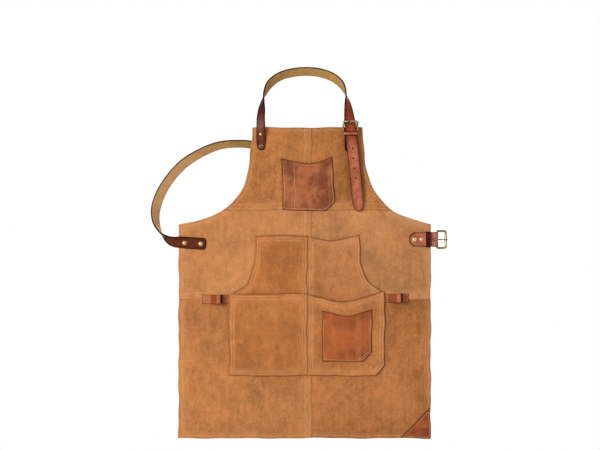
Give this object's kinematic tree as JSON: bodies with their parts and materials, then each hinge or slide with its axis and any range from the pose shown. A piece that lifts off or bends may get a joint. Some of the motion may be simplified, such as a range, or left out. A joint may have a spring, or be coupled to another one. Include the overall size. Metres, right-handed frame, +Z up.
{
  "type": "welding apron",
  "caption": "Split-leather work apron hanging upright: panelled body, layered pockets, tool loops, neck strap looped through a roller buckle, waist strap and open waist buckle.",
  "frame": {"origin": "middle of the bottom hem: on the centre seam, at the back face of the body leather", "axes": "+Z up towards the neck loop, -Y is the front (outside) of the apron, +X to the right as seen from the front"},
  "size_m": [0.7394, 0.0467, 0.9295],
  "materials": {
    "suede": "napped split leather, matte",
    "smooth_leather": "smooth brown leather, waxed",
    "strap_leather": "dark grain, burnished edges",
    "antique_brass": "antique, worn bright on the high spots"
  },
  "bodies": {
    "skirt": {"waist_panel_left": "suede", "waist_panel_right": "suede", "skirt_panel_left": "suede", "skirt_panel_right": "suede", "hand_pocket_left": "suede", "hand_pocket_right": "suede", "tool_pocket_left": "suede", "tool_pocket_right": "suede", "rule_pocket": "smooth_leather", "corner_patch": "smooth_leather", "tool_loop_left": "smooth_leather", "tool_loop_right": "smooth_leather", "waist_strap_end": "strap_leather", "waist_buckle_tab": "strap_leather", "waist_strap_rivet_caps": "antique_brass", "waist_strap_rivet_posts": "antique_brass", "waist_tab_rivet_caps": "antique_brass", "waist_tab_rivet_posts": "antique_brass"},
    "bib": {"bib_panel_left": "suede", "bib_panel_right": "suede", "chest_pocket": "smooth_leather", "neck_strap_end": "strap_leather", "neck_strap_tail": "strap_leather", "neck_buckle_tab": "strap_leather", "neck_strap_rivet_caps": "antique_brass", "neck_strap_rivet_posts": "antique_brass", "neck_tab_rivet_caps": "antique_brass", "neck_tab_rivet_posts": "antique_brass"},
    "neck_loop": {"neck_strap_loop": "strap_leather"},
    "neck_buckle": {"neck_buckle_frame": "antique_brass"},
    "neck_prong": {"neck_buckle_prong": "antique_brass"},
    "neck_roller": {"neck_buckle_roller": "antique_brass"},
    "neck_keeper": {"neck_strap_keeper": "strap_leather"},
    "waist_strap": {"waist_strap": "strap_leather"},
    "waist_buckle": {"waist_buckle_frame": "antique_brass"},
    "waist_prong": {"waist_buckle_prong": "antique_brass"},
    "waist_roller": {"waist_buckle_roller": "antique_brass"},
    "waist_keeper": {"waist_strap_keeper": "strap_leather"}
  },
  "joints": [
    {"name": "bib_fold", "type": "hinge", "parent": "skirt", "child": "bib", "pos_m": [0, -0.012, 0.565], "axis": [1, 0, 0], "range_deg": [0, 150]},
    {"name": "neck_loop_swing", "type": "hinge", "parent": "bib", "child": "neck_loop", "pos_m": [0, -0.0034, 0.8], "axis": [1, 0, 0], "range_deg": [-85, 60], "stiffness_Nm_per_rad": 0.05},
    {"name": "neck_buckle_swing", "type": "hinge", "parent": "bib", "child": "neck_buckle", "pos_m": [0.1086, -0.00625, 0.7685], "axis": [1, 0, 0], "range_deg": [-2, 6]},
    {"name": "neck_prong_lift", "type": "hinge", "parent": "neck_buckle", "child": "neck_prong", "pos_m": [0.1086, -0.00625, 0.7685], "axis": [1, 0, 0], "range_deg": [0, 8]},
    {"name": "neck_roller_spin", "type": "hinge", "parent": "neck_buckle", "child": "neck_roller", "pos_m": [0.1086, -0.01062, 0.79139], "axis": [1, 0, 0], "continuous": true},
    {"name": "neck_keeper_slide", "type": "slide", "parent": "bib", "child": "neck_keeper", "axis": [0, 0, -1], "range_m": [0, 0.003]},
    {"name": "waist_strap_swing", "type": "hinge", "parent": "skirt", "child": "waist_strap", "pos_m": [-0.3205, -0.0034, 0.49], "axis": [0, 0, 1], "range_deg": [0, 85]},
    {"name": "waist_buckle_swing", "type": "hinge", "parent": "skirt", "child": "waist_buckle", "pos_m": [0.3235, -0.00625, 0.497], "axis": [0, 0, 1], "range_deg": [-45, 80]},
    {"name": "waist_prong_lift", "type": "hinge", "parent": "waist_buckle", "child": "waist_prong", "pos_m": [0.3235, -0.00625, 0.497], "axis": [0, 0, 1], "range_deg": [-75, 0]},
    {"name": "waist_roller_spin", "type": "hinge", "parent": "waist_buckle", "child": "waist_roller", "pos_m": [0.3468, -0.00625, 0.497], "axis": [0, 0, 1], "continuous": true},
    {"name": "waist_keeper_slide", "type": "slide", "parent": "skirt", "child": "waist_keeper", "axis": [1, 0, 0], "range_m": [0, 0.003]}
  ]
}
